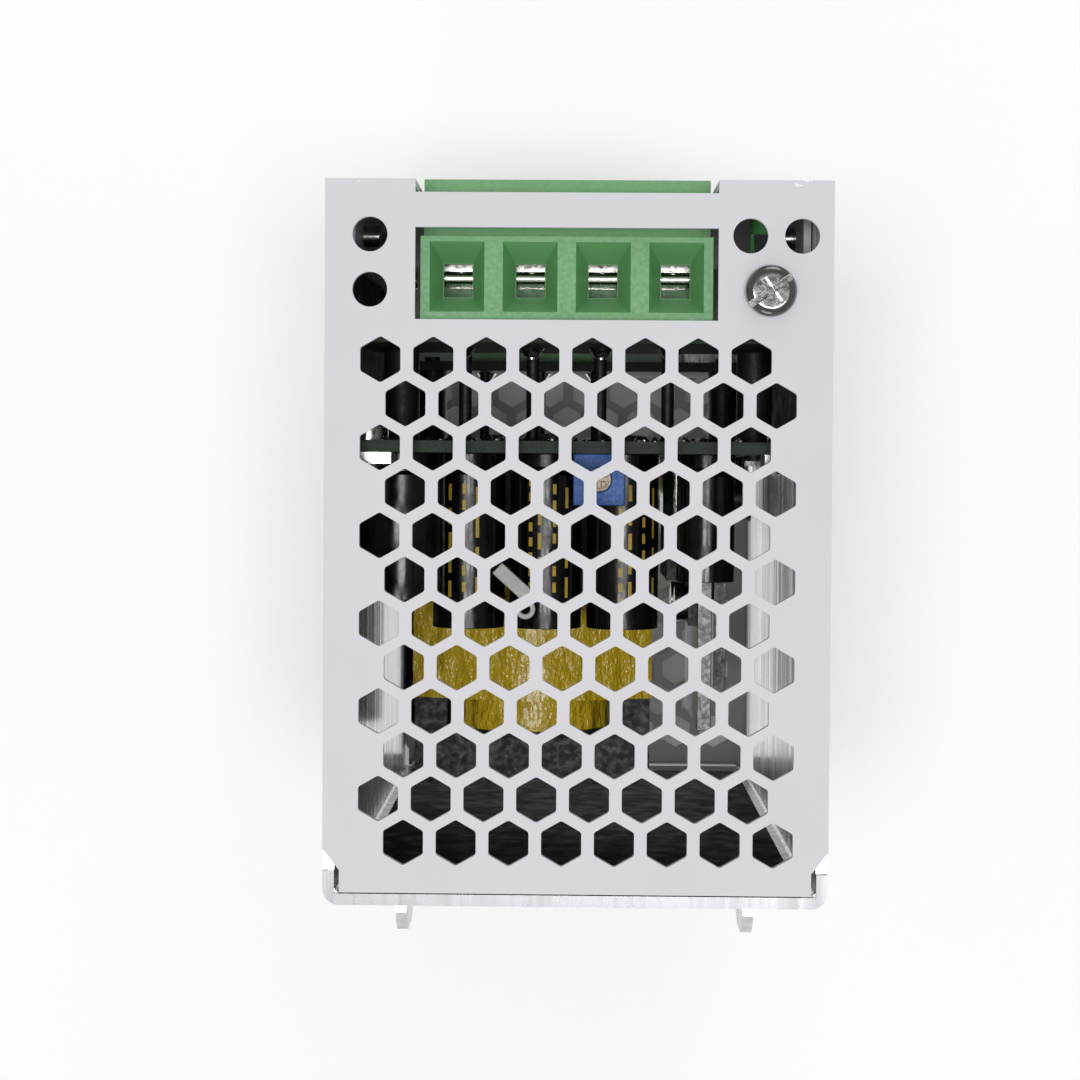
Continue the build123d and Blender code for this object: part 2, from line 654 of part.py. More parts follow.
for group, end, pole_x in (("output", 1, output_pole_x), ("input", -1, input_pole_x)):
    with BuildPart() as contacts:
        for x in pole_x:
            terminal_contact(end, x)
    finish(contacts, f"{group}_contacts")
    for index, x in enumerate(pole_x, 1):
        with BuildPart() as cage:
            clamp_cage(end, x)
        finish(cage, f"{group}_cage_{index}")
        with BuildPart() as screw:
            clamp_screw(end, x)
        finish(screw, f"{group}_screw_{index}")


# ---------------------------------------------------------------- helpers for parts on the main board
def on_board(x, z, stand=0):
    """Plane on the component face at a place, looking at the base."""
    return Plane(origin=(x, main_board_y + stand, z), x_dir=(1, 0, 0), z_dir=BACK)


def can(x, z, radius, length):
    """Electrolytic capacitor standing on the main board, with its rolled groove."""
    with Locations(on_board(x, z).location):
        Cylinder(radius, length, align=(Align.CENTER, Align.CENTER, Align.MIN))
        with Locations((0, 0, cap_groove_height)):
            Torus(radius + 0.1, cap_groove_radius, mode=Mode.SUBTRACT)


# ---------------------------------------------------------------- trimmer
trimmer_face = inward(1, trimmer_from_top)
trimmer_y = main_board_y + trimmer_size / 2
rotor_face = trimmer_face - rotor_sunk

with BuildPart() as trimmer_body:
    block((trimmer_x - trimmer_size / 2, trimmer_x + trimmer_size / 2),
          (main_board_y, main_board_y + trimmer_size), (trimmer_face - trimmer_thick, trimmer_face))
    rod((trimmer_x, trimmer_y, trimmer_face + 1), (0, 0, -1), rotor_radius + rotor_run_gap,
        1 + rotor_sunk + rotor_thick + hole_gap, mode=Mode.SUBTRACT)
finish(trimmer_body, "trimmer_body")

with BuildPart() as trimmer_rotor:
    rod((trimmer_x, trimmer_y, rotor_face), (0, 0, -1), rotor_radius, rotor_thick)
    with Locations((trimmer_x, trimmer_y, rotor_face)):
        Box(rotor_slot[0], rotor_slot[1], 2 * rotor_slot[2], mode=Mode.SUBTRACT)
        Box(rotor_slot[1], rotor_slot[0], 2 * rotor_slot[2], mode=Mode.SUBTRACT)
finish(trimmer_rotor, "trimmer_rotor")

# ---------------------------------------------------------------- capacitors
output_cap_z = inward(1, output_cap_from_top)
output_cap_spacing = 2 * output_cap_radius + output_cap_gap
with BuildPart() as output_capacitors:
    for step in (-1, 0, 1):
        can(output_cap_x + step * output_cap_spacing, output_cap_z, output_cap_radius, output_cap_length)
finish(output_capacitors, "output_capacitors")

filter_cap_x = inner_x - 1.0 - filter_cap_radius
with BuildPart() as filter_capacitors:
    can(filter_cap_x, inward(1, filter_cap_from_top), filter_cap_radius, filter_cap_length)
    can(small_cap_x, inward(1, small_cap_from_top), small_cap_radius, small_cap_length)
finish(filter_capacitors, "filter_capacitors")

bulk_cap_x = board_half - 1.5 - bulk_cap_radius
with BuildPart() as bulk_capacitor:
    can(bulk_cap_x, inward(-1, bulk_cap_from_bottom), bulk_cap_radius, component_room - bulk_cap_base_gap)
finish(bulk_capacitor, "bulk_capacitor")

# nylon tie against the first two output capacitors, its tail bent into a loop
tie_width = 2.0
tie_strap = 6.4
tie_angle = -42
tie_thick = 1.2
tie_loop_radius = 1.4
tie_z = output_cap_z + output_cap_radius + 0.3
with BuildPart() as cable_tie:
    tie_plane = Plane(origin=(output_cap_x + output_cap_spacing / 4, main_board_y + 21.7, tie_z), z_dir=(0, 0, 1))
    with BuildSketch(tie_plane):
        with Locations(Location((1.6, -3.6), tie_angle)):
            Rectangle(tie_strap, tie_width)
        Circle(tie_loop_radius)
        Circle(tie_loop_radius / 2, mode=Mode.SUBTRACT)
    extrude(amount=tie_thick)
finish(cable_tie, "cable_tie")

# ---------------------------------------------------------------- transformer
core_z = inward(1, core_from_top)
core_low_y = main_board_y + core_stand
core_high_y = base_inner_y - core_base_gap
core_mid_y = (core_low_y + core_high_y) / 2
core_half_height = (core_high_y - core_low_y) / 2
core_half_width = core_width / 2
window_half = core_half_width - core_leg


def core_half(direction):
    """One E half of the core: a back plate, two outer legs and a round centre leg."""
    back_y = core_mid_y + direction * core_half_height
    leg_y = back_y - direction * core_back
    z_span = (core_z - core_thick / 2, core_z + core_thick / 2)
    block((core_x - core_half_width, core_x + core_half_width), (back_y, leg_y), z_span)
    for side in (1, -1):
        block((core_x + side * window_half, core_x + side * core_half_width), (leg_y, core_mid_y), z_span)
    rod((core_x, core_mid_y, core_z), (0, direction, 0), core_centre_radius, core_half_height - core_back / 2)


with BuildPart() as core_half_1:
    core_half(-1)
finish(core_half_1, "transformer_core_1")

with BuildPart() as core_half_2:
    core_half(1)
finish(core_half_2, "transformer_core_2")

bobbin_low = core_low_y + core_back + bobbin_gap
bobbin_high = core_high_y - core_back - bobbin_gap
flange_radius = window_half - 0.3
rail_near = core_thick / 2 + 0.35
with BuildPart() as bobbin:
    rod((core_x, bobbin_low, core_z), BACK, core_centre_radius + bobbin_gap + bobbin_wall, bobbin_high - bobbin_low)
    for y in (bobbin_low, bobbin_high - bobbin_wall):
        rod((core_x, y, core_z), BACK, flange_radius, bobbin_wall)
    rod((core_x, bobbin_low - 1, core_z), BACK, core_centre_radius + bobbin_gap, bobbin_high - bobbin_low + 2,
        mode=Mode.SUBTRACT)
    for side in (1, -1):
        block((core_x - 12, core_x + 12), (main_board_y + 1.5, bobbin_low + bobbin_wall),
              (core_z + side * rail_near, core_z + side * (winding_radius + 0.4)))
        for step in range(-2, 3):
            rod((core_x + step * 5, main_board_y, core_z + side * (winding_radius - 1.5)), BACK, lead_radius, 1.6)
finish(bobbin, "bobbin")

with BuildPart() as winding:
    rod((core_x, bobbin_low + bobbin_wall, core_z), BACK, winding_radius,
        bobbin_high - bobbin_low - 2 * bobbin_wall)
    rod((core_x, bobbin_low, core_z), BACK, core_centre_radius + bobbin_gap + bobbin_wall,
        bobbin_high - bobbin_low, mode=Mode.SUBTRACT)
finish(winding, "winding")

with BuildPart() as core_tape:
    tape_start = core_mid_y - tape_width / 2
    with BuildSketch(Plane(origin=(core_x, tape_start, core_z), x_dir=(1, 0, 0), z_dir=BACK)):
        for grow, mode in ((tape_thick, Mode.ADD), (0, Mode.SUBTRACT)):
            with BuildSketch(mode=Mode.PRIVATE) as outline:
                Rectangle(core_width + 2 * grow, core_thick + 2 * grow)
                Circle(winding_radius + 0.1 + grow)
                make_hull()
            add(outline.sketch, mode=mode)
    extrude(amount=tape_width)
finish(core_tape, "core_tape")


# ---------------------------------------------------------------- heatsinks and power devices
def heatsink(centre_x, z_span):
    """Upright aluminium plate on two short feet."""
    x_span = (centre_x - heatsink_thick / 2, centre_x + heatsink_thick / 2)
    block(x_span, (main_board_y + heatsink_stand, base_inner_y - sink_base_gap), z_span)
    for z in (z_span[0] + 3, z_span[1] - 3):
        block(x_span, (main_board_y, main_board_y + heatsink_stand + 1), (z - 1, z + 1))


device_body_y = main_board_y + device_stand
device_hole_y = device_body_y + device_body + device_tab * 0.55
output_sink_z = (inward(1, output_sink_from_top + output_sink_length), inward(1, output_sink_from_top))
input_sink_z = (inward(-1, input_sink_from_bottom), inward(-1, input_sink_from_bottom + input_sink_length))
diode_z = [output_sink_z[1] - 1.5 - device_width / 2 - step * (device_width + 3.0) for step in (0, 1)]
transistor_z = [input_sink_z[0] + 1.5 + device_width / 2 + step * (device_width + 3.0) for step in (0, 1)]
output_sink_face = output_sink_x + heatsink_thick / 2
input_sink_face = input_sink_x + heatsink_thick / 2

for label, centre_x, z_span, device_z in (("output_heatsink", output_sink_x, output_sink_z, diode_z),
                                         ("input_heatsink", input_sink_x, input_sink_z, transistor_z)):
    with BuildPart() as sink:
        heatsink(centre_x, z_span)
        for z in device_z:
            rod((centre_x - 2, device_hole_y, z), (1, 0, 0), fixing_radius + hole_gap / 2, 4, mode=Mode.SUBTRACT)
    finish(sink, label)

for label, face_x, device_z in (("rectifier_diodes", output_sink_face, diode_z),
                                ("power_transistors", input_sink_face, transistor_z)):
    with BuildPart() as devices:
        for z in device_z:
            z_span = (z - device_width / 2, z + device_width / 2)
            block((face_x, face_x + device_thick), (device_body_y, device_body_y + device_body), z_span)
            block((face_x, face_x + device_tab_thick),
                  (device_body_y + device_body - 1, device_body_y + device_body + device_tab), z_span)
            rod((face_x - 1, device_hole_y, z), (1, 0, 0), fixing_radius + hole_gap, 4, mode=Mode.SUBTRACT)
    finish(devices, label)

with BuildPart() as device_screws:
    for face_x, device_z in ((output_sink_face, diode_z), (input_sink_face, transistor_z)):
        for z in device_z:
            start = (face_x + device_tab_thick, device_hole_y, z)
            rod(start, (1, 0, 0), fixing_head_radius - 0.2, fixing_head_thick)
            rod(start, (-1, 0, 0), fixing_radius, device_tab_thick + heatsink_thick)
            with Locations((start[0] + fixing_head_thick, start[1], start[2])):
                Box(2.0, 3.2, 0.6, mode=Mode.SUBTRACT)
                Box(2.0, 0.6, 3.2, mode=Mode.SUBTRACT)
finish(device_screws, "device_screws")

# ---------------------------------------------------------------- input parts
choke_centre = (choke_x, inward(-1, choke_from_bottom))
with BuildPart() as choke_core:
    with BuildSketch(on_board(*choke_centre, stand=choke_wire + 0.1)):
        Circle(choke_ring[0])
        Circle(choke_ring[1], mode=Mode.SUBTRACT)
    extrude(amount=choke_ring[2])
finish(choke_core, "choke_core")

with BuildPart() as choke_windings:
    with BuildSketch(on_board(*choke_centre, stand=0.1)):
        Circle(choke_ring[0] + choke_wire)
        Circle(choke_ring[1] - choke_wire, mode=Mode.SUBTRACT)
        Rectangle(5.0, 4 * choke_ring[0], mode=Mode.SUBTRACT)
    extrude(amount=choke_ring[2] + 2 * choke_wire)
    with BuildSketch(on_board(*choke_centre, stand=choke_wire + 0.1)):
        Circle(choke_ring[0])
        Circle(choke_ring[1], mode=Mode.SUBTRACT)
    extrude(amount=choke_ring[2], mode=Mode.SUBTRACT)
finish(choke_windings, "choke_windings")

x_cap_x = choke_x - choke_ring[0] - choke_wire - 1.5
with BuildPart() as x_capacitor:
    block((x_cap_x - 9.0, x_cap_x), (main_board_y, main_board_y + 16.0), (inward(-1, 15), inward(-1, 33)))
    fillet(x_capacitor.edges().group_by(Axis.Y)[-1], 0.6)
finish(x_capacitor, "x_capacitor")

fuse_radius = 2.6
fuse_length = 20.0
with BuildPart() as fuse:
    fuse_start = x_cap_x - 17.0
    rod((fuse_start, main_board_y + 4.0, inward(-1, 9.0)), (1, 0, 0), fuse_radius, fuse_length)
    for x in (fuse_start, fuse_start + fuse_length - 5.0):
        block((x, x + 5.0), (main_board_y, main_board_y + 4.0), (inward(-1, 8.0), inward(-1, 10.0)))
finish(fuse, "fuse")

thermistor_radius = 6.5
thermistor_thick = 4.0
with BuildPart() as thermistor:
    disc_x = x_cap_x - 9.0 - 3.0
    rod((disc_x, main_board_y + 9.0, inward(-1, 21.0)), (-1, 0, 0), thermistor_radius, thermistor_thick)
    for step in (-2.5, 2.5):
        rod((disc_x - 2.0, main_board_y, inward(-1, 21.0 + step)), BACK, lead_radius, 8.0)
finish(thermistor, "thermistor")

with BuildPart() as bridge_rectifier:
    bridge_x = x_cap_x - 6.5
    block((bridge_x, bridge_x + 3.6), (main_board_y + 4.0, main_board_y + 22.0), (inward(-1, 35), inward(-1, 55)))
    for step in range(4):
        rod((bridge_x + 1.8, main_board_y, inward(-1, 37.5 + 5 * step)), BACK, lead_radius + 0.1, 5.0)
finish(bridge_rectifier, "bridge_rectifier")

y_cap_radius = 4.0
y_cap_thick = 3.0
with BuildPart() as y_capacitors:
    for step in (0, 1):
        disc_z = inward(-1, 21.5 + 12.0 * step)
        rod((-board_half + 4.0, main_board_y + 7.0, disc_z), (-1, 0, 0), y_cap_radius, y_cap_thick)
        for offset in (-2.0, 2.0):
            rod((-board_half + 2.5, main_board_y, disc_z + offset), BACK, lead_radius, 5.0)
finish(y_capacitors, "y_capacitors")

# ---------------------------------------------------------------- small parts on both faces of the boards
chip_half_width = 2.0
chip_thick = 1.6
chip_places = ((-8.0, 52.0, 10.0), (12.0, 53.0, 5.0), (4.0, 71.0, 5.0))      # x, height above the lower end, length
with BuildPart() as control_chips:
    for x, from_bottom, length in chip_places:
        z = inward(-1, from_bottom)
        block((x - chip_half_width, x + chip_half_width), (main_board_front - chip_thick, main_board_front),
              (z - length / 2, z + length / 2))
finish(control_chips, "control_chips")

device_lead_pitch = 2.54
device_lead_width = 0.9
with BuildPart() as device_leads:
    for face_x, device_z in ((output_sink_face, diode_z), (input_sink_face, transistor_z)):
        for z in device_z:
            for step in (-1, 0, 1):
                block((face_x + 2.0, face_x + 2.6), (main_board_y, device_body_y),
                      (z + step * device_lead_pitch - device_lead_width / 2,
                       z + step * device_lead_pitch + device_lead_width / 2))
finish(device_leads, "device_leads")

with BuildPart() as solder_joints:
    for end, pole_x in ((1, output_pole_x), (-1, input_pole_x)):
        for x in pole_x:
            joint = Plane(origin=(x, terminal_board_back, inward(end, pin_from_end)), z_dir=BACK)
            with Locations(joint.location):
                Cone(1.7, contact_pin_radius + 0.15, 1.2, align=(Align.CENTER, Align.CENTER, Align.MIN))
                Cylinder(contact_pin_radius, 4, mode=Mode.SUBTRACT)
    for x, z in [(output_cap_x + step * output_cap_spacing + side * 2.5, output_cap_z)
                 for step in (-1, 0, 1) for side in (-1, 1)]:
        with Locations(Plane(origin=(x, main_board_front, z), z_dir=FRONT).location):
            Cone(solder_radius, lead_radius, solder_height, align=(Align.CENTER, Align.CENTER, Align.MIN))
    for step in range(-2, 3):
        for side in (1, -1):
            joint = Plane(origin=(core_x + step * 5, main_board_front, core_z + side * (winding_radius - 1.5)),
                          z_dir=FRONT)
            with Locations(joint.location):
                Cone(solder_radius, lead_radius, solder_height, align=(Align.CENTER, Align.CENTER, Align.MIN))
finish(solder_joints, "solder_joints")

with BuildPart() as led:
    rod((led_x, behind(-0.4), led_z), BACK, led_radius, 5.0)
    fillet(led.edges().group_by(Axis.Y)[0], led_radius * 0.7)
    for offset in (-1.27, 1.27):
        block((led_x + offset - 0.25, led_x + offset + 0.25), (behind(4.0), behind(terminal_board_depth)),
              (led_z - 0.25, led_z + 0.25))
finish(led, "led")

# ---------------------------------------------------------------- latch on the rail side
with BuildPart() as latch_slider:
    plate = (latch_gap, latch_gap + latch_thick)
    nose_front = rail_lip + rail_play
    nose = (nose_front, nose_front + latch_thick + 0.2)
    block((-latch_half_width, latch_half_width), plate, (latch_low, latch_top))
    block((-latch_head_half_width, latch_head_half_width), plate, (latch_top - latch_head, latch_top))
    block((-latch_head_half_width, latch_head_half_width), (latch_gap, nose[1]), (latch_top - 2.4, latch_top))
    block((-latch_head_half_width, latch_head_half_width), nose, (latch_top - 2.4, latch_top + latch_bite))
    nose_tip = latch_slider.edges().filter_by(Axis.X).filter_by_position(
        Axis.Z, latch_top + latch_bite - 0.01, latch_top + latch_bite + 0.01).sort_by(Axis.Y)[-1]
    chamfer(nose_tip, 1.2)
    # window for the spring, with the tab it pushes on
    block((-3.4, 3.4), (latch_gap - 1, latch_gap + latch_thick + 1),
          (spring_low - tab_thick - latch_travel - 1, spring_high), mode=Mode.SUBTRACT)
    block((-2.5, 2.5), (latch_gap, tab_reach), (spring_high, spring_high + tab_thick))
    # slot for a screwdriver
    block((-3.5, 3.5), (latch_gap - 1, latch_gap + latch_thick + 1), (latch_low + 2.5, latch_low + 5.0),
          mode=Mode.SUBTRACT)
    fillet(latch_slider.edges().filter_by(Axis.Y).filter_by_position(
        Axis.Z, latch_low - 0.01, latch_low + 0.01), 1.5)
finish(latch_slider, "latch_slider")

with BuildPart() as latch_spring:
    coil_radius = spring_radius - spring_wire / 2
    coil_low = spring_low + spring_wire / 2
    coil_height = spring_length - spring_wire
    with BuildLine(Plane(origin=(0, spring_y, coil_low), z_dir=(0, 0, 1))) as coil_path:
        Helix(pitch=coil_height / spring_turns, height=coil_height, radius=coil_radius)
    coil_start = coil_path.line @ 0
    coil_way = coil_path.line % 0
    with BuildSketch(Plane(origin=coil_start, z_dir=coil_way)):
        Circle(spring_wire / 2)
    sweep(path=coil_path.line, is_frenet=True)
finish(latch_spring, "latch_spring")

print("poles at", [round(x, 2) for x in output_pole_x], [round(x, 2) for x in input_pole_x])
print("axis of output screws z", round(inward(1, entry_recess + screw_setback), 3))
print("axis of input screws z", round(inward(-1, entry_recess + screw_setback), 3))
print("rotor axis", trimmer_x, trimmer_y, rotor_face)
print("spring from", round(spring_low, 3), "to", round(spring_high, 3))
print("front of tower", behind(-tower_proud), "unit from", z_bottom, "to", z_top)
print("screw turns", round(cage_travel / screw_pitch, 2), "ratio m/rad", screw_pitch / 2000 / math.pi)
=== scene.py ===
import json
import math

import bmesh
import bpy
from mathutils import Matrix, Vector, noise


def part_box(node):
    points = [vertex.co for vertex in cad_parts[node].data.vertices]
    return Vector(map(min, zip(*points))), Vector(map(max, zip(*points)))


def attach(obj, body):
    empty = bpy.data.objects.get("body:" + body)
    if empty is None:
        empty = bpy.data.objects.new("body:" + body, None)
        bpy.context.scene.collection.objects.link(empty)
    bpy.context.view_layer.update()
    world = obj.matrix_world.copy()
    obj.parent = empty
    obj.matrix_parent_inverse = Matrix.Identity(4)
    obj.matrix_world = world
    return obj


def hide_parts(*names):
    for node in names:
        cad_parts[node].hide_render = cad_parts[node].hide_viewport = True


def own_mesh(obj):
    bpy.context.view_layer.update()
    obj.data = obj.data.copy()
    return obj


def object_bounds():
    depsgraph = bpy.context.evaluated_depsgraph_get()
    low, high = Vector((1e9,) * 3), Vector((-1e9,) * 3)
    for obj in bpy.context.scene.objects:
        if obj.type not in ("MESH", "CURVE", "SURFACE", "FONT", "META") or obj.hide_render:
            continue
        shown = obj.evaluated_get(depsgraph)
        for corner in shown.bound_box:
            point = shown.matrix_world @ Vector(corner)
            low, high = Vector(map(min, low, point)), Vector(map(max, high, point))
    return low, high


# A DIN rail power supply standing on its lower end, seen from above its vented top end.
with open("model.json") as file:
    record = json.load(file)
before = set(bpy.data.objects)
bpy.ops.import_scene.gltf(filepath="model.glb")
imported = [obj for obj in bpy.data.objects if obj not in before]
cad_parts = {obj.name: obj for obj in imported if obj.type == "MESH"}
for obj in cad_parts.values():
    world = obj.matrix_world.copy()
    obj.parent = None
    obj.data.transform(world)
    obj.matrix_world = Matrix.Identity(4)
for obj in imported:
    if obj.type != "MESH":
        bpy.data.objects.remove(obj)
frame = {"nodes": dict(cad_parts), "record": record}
cad_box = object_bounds()

MM = 0.001
UNIT = "unit"
slot_of = {row["node"]: row["material_slot"] for row in frame["record"]["subparts"]}
body_of = {node: body for body, nodes in frame["record"]["behaviour"]["bodies"].items() for node in nodes}
cover_low, cover_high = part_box("cover")
chassis_low, chassis_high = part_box("chassis")
front_y = cover_low.y
top_z = cover_high.z


# ---------------------------------------------------------------- camera and light
def aim(obj, place, target):
    obj.location = place
    obj.rotation_euler = (Vector(target) - Vector(place)).to_track_quat("-Z", "Y").to_euler()


def camera():
    """Straight above the top end, with the front panel at the top of the view."""
    sideways, behind_front, above_top = 0.0005, 0.0366, 0.290
    turned = (-1.31, 0.86, 180.4)
    data = bpy.data.cameras.new("camera")
    eye = bpy.data.objects.new("camera", data)
    bpy.context.collection.objects.link(eye)
    eye.location = (sideways, front_y + behind_front, top_z + above_top)
    eye.rotation_euler = [math.radians(angle) for angle in turned]
    data.sensor_width = 36.0
    data.lens = 75.0
    data.shift_y = -0.0226
    data.clip_start = 0.01
    bpy.context.scene.camera = eye


def softbox(name, place, target, size, power, seen=True):
    """A rectangular lamp, which the camera itself need not see."""
    data = bpy.data.lights.new(name, "AREA")
    data.shape = "RECTANGLE"
    data.size, data.size_y = size
    data.energy = power
    lamp = bpy.data.objects.new(name, data)
    lamp.visible_camera = seen
    bpy.context.collection.objects.link(lamp)
    aim(lamp, place, target)


def studio():
    """White surroundings, one large lamp overhead, two fills and a pale floor."""
    world = bpy.data.worlds.new("studio")
    bpy.context.scene.world = world
    world.use_nodes = True
    surroundings = world.node_tree.nodes["Background"]
    surroundings.inputs["Color"].default_value = (1.0, 1.0, 1.0, 1.0)
    surroundings.inputs["Strength"].default_value = 0.42
    softbox("overhead", (0.02, 0.05, 1.60), (0.0, -0.05, top_z), (0.85, 0.34), 14.5)
    softbox("front_fill", (-0.15, -0.95, 0.25), (0.0, -0.05, -0.03), (0.5, 0.5), 1.6)
    softbox("back_fill", (0.15, 0.95, 0.25), (0.0, 0.0, -0.03), (0.5, 0.5), 1.6)
    # a weak lamp inside, just over the lower vents, whose light climbs the inner walls
    middle_y = (front_y + chassis_high.y) / 2
    foot = (0.0, middle_y, chassis_low.z + 3.0 * MM)
    softbox("lower_vents", foot, (0.0, middle_y, top_z), (0.060, 0.080), 0.014, seen=False)
    mesh = bpy.data.meshes.new("floor")
    low = cad_box[0].z
    half = 3
    corners = [(-half, -half, low), (half, -half, low), (half, half, low), (-half, half, low)]
    mesh.from_pydata(corners, [], [(0, 1, 2, 3)])
    floor = bpy.data.objects.new("floor", mesh)
    bpy.context.collection.objects.link(floor)
    paper = bpy.data.materials.new("pale_floor")
    paper.use_nodes = True
    shader = paper.node_tree.nodes["Principled BSDF"]
    shader.inputs["Base Color"].default_value = (0.99, 0.99, 0.99, 1)
    shader.inputs["Roughness"].default_value = 0.9
    mesh.materials.append(paper)
    bpy.context.scene.view_settings.view_transform = "Standard"


# ---------------------------------------------------------------- material building blocks
MIX_BASE, MIX_OVER, MIX_RESULT = 6, 7, 2      # the colour sockets of a Mix node
NODE_SETTINGS = ("operation", "data_type", "interpolation_type")


class Finish:
    """A Principled material with the patterns that the finishes below share, sized in millimetres."""

    def __init__(self, name, colour, roughness, metallic=0.0):
        self.material = bpy.data.materials.new(name)
        self.material.use_nodes = True
        self.nodes = self.material.node_tree.nodes
        self.links = self.material.node_tree.links
        self.shader = self.nodes["Principled BSDF"]
        self.shader.inputs["Base Color"].default_value = (*colour, 1)
        self.shader.inputs["Roughness"].default_value = roughness
        self.shader.inputs["Metallic"].default_value = metallic
        self.place = self.nodes.new("ShaderNodeTexCoord").outputs["Object"]
        self.colour = None
        self.height = None

    def add(self, kind, **values):
        node = self.nodes.new(kind)
        for key, value in values.items():
            if key in NODE_SETTINGS:
                setattr(node, key, value)
            else:
                node.inputs[key.replace("_", " ")].default_value = value
        return node

    def join(self, output, socket):
        self.links.new(output, socket)

    def grain(self, size, detail=3.0, stretch=(1, 1, 1)):
        """Noise with features of this size, drawn out along an axis by a stretch above 1."""
        spread = self.add("ShaderNodeMapping", Scale=tuple(1 / (size * MM * s) for s in stretch))
        self.join(self.place, spread.inputs["Vector"])
        speckle = self.add("ShaderNodeTexNoise", Scale=1.0, Detail=detail, Roughness=0.55)
        self.join(spread.outputs["Vector"], speckle.inputs["Vector"])
        return speckle.outputs["Fac"]

    def between(self, value, low, high, to_low=0.0, to_high=1.0):
        """Carry a value from one range over to another, with soft ends."""
        span = self.add("ShaderNodeMapRange", interpolation_type="SMOOTHSTEP")
        ends = {"From Min": low, "From Max": high, "To Min": to_low, "To Max": to_high}
        for key, number in ends.items():
            span.inputs[key].default_value = number
        self.join(value, span.inputs["Value"])
        return span.outputs["Result"]

    def product(self, a, b):
        node = self.add("ShaderNodeMath", operation="MULTIPLY")
        self.join(a, node.inputs[0])
        self.join(b, node.inputs[1])
        return node.outputs[0]

    def tint(self, share, other):
        """Lay another colour over the base by a share that follows a pattern."""
        mix = self.add("ShaderNodeMix", data_type="RGBA")
        self.join(share, mix.inputs["Factor"])
        base = mix.inputs[MIX_BASE]
        if self.colour is None:
            base.default_value = self.shader.inputs["Base Color"].default_value
        else:
            self.join(self.colour, base)
        mix.inputs[MIX_OVER].default_value = (*other, 1)
        self.colour = mix.outputs[MIX_RESULT]
        self.join(self.colour, self.shader.inputs["Base Color"])

    def gloss(self, value, low, high):
        """Roughness that follows a pattern between two values."""
        self.join(self.between(value, 0.3, 0.7, low, high), self.shader.inputs["Roughness"])

    def relief(self, value, depth):
        """Bump of this depth, on top of what is already there."""
        bump = self.add("ShaderNodeBump", Strength=1.0, Distance=depth * MM)
        self.join(value, bump.inputs["Height"])
        if self.height is not None:
            self.join(self.height, bump.inputs["Normal"])
        self.height = bump.outputs["Normal"]
        self.join(self.height, self.shader.inputs["Normal"])

    def axis(self, name):
        split = self.add("ShaderNodeSeparateXYZ")
        self.join(self.place, split.inputs["Vector"])
        return split.outputs[name]


# ---------------------------------------------------------------- the unit's finishes
def painted_steel():
    """Silver-grey powder coat, fine grained, chipped to bright metal along its bends."""
    f = Finish("painted_steel", (0.60, 0.598, 0.63), 0.52)
    f.shader.inputs["Specular IOR Level"].default_value = 0.4
    fleck = f.grain(0.16, 2.0)
    f.tint(f.between(fleck, 0.35, 0.7, 0.0, 0.16), (0.72, 0.72, 0.75))
    f.tint(f.between(f.grain(9.0, 3.0), 0.3, 0.75, 0.0, 0.10), (0.50, 0.50, 0.53))
    f.relief(f.grain(0.28, 2.0), 0.006)
    # chips on the two front bends
    near_front = f.between(f.axis("Y"), front_y + 0.2 * MM, front_y + 1.3 * MM, 1.0, 0.0)
    up = f.between(f.axis("Z"), top_z - 1.5 * MM, top_z - 0.3 * MM)
    chips = f.between(f.grain(0.7, 4.0, (2.2, 1, 1)), 0.63, 0.68)
    worn = f.product(f.product(near_front, up), chips)
    f.tint(worn, (0.95, 0.95, 0.95))
    f.gloss(fleck, 0.46, 0.60)
    return f.material


def bare_aluminium():
    """Mill-finish sheet with fine rolling lines from front to back and a few scuffs."""
    shade = (0.40, 0.41, 0.43)
    f = Finish("bare_aluminium", (0.60, 0.61, 0.63), 0.28, 0.85)
    lines = f.grain(1.4, 4.0, (1, 60, 1))
    f.tint(f.between(lines, 0.35, 0.65, 0.0, 0.6), shade)
    f.tint(f.between(f.grain(14.0, 3.0, (1, 3, 1)), 0.5, 0.8, 0.0, 0.2), shade)
    f.gloss(f.grain(2.0, 3.0, (1, 40, 1)), 0.20, 0.36)
    f.relief(f.grain(0.4, 2.0, (1, 60, 1)), 0.002)
    # the sheared edge at the upper end is dull; its dark colour is painted shade that outlines the edge
    painted_edge_shade = f.between(f.axis("Z"), chassis_high.z - 0.30 * MM, chassis_high.z - 0.05 * MM)
    f.tint(painted_edge_shade, (0.20, 0.20, 0.21))
    return f.material


def nickel(name="plated_steel", colour=(0.52, 0.50, 0.47), low=0.14, high=0.30):
    """Bright plated steel, a little smoky in the hollows."""
    f = Finish(name, colour, 0.24, 1.0)
    f.tint(f.between(f.grain(1.2, 4.0), 0.45, 0.75, 0.0, 0.5), tuple(0.45 * c for c in colour))
    f.gloss(f.grain(0.6), low, high)
    f.relief(f.grain(0.25, 3.0), 0.004)
    return f.material


def moulded(name, colour, dark, roughness=0.45, texture=0.006):
    """Moulded plastic with a slight shade change and a fine spark-eroded surface."""
    f = Finish(name, colour, roughness)
    f.shader.inputs["Specular IOR Level"].default_value = 0.45
    f.tint(f.between(f.grain(6.0, 3.0), 0.35, 0.75, 0.0, 0.35), dark)
    f.tint(f.between(f.grain(0.35, 3.0), 0.4, 0.8, 0.0, 0.22), dark)
    f.gloss(f.grain(0.5), roughness - 0.07, roughness + 0.10)
    f.relief(f.grain(0.2, 2.0), texture)
    return f.material


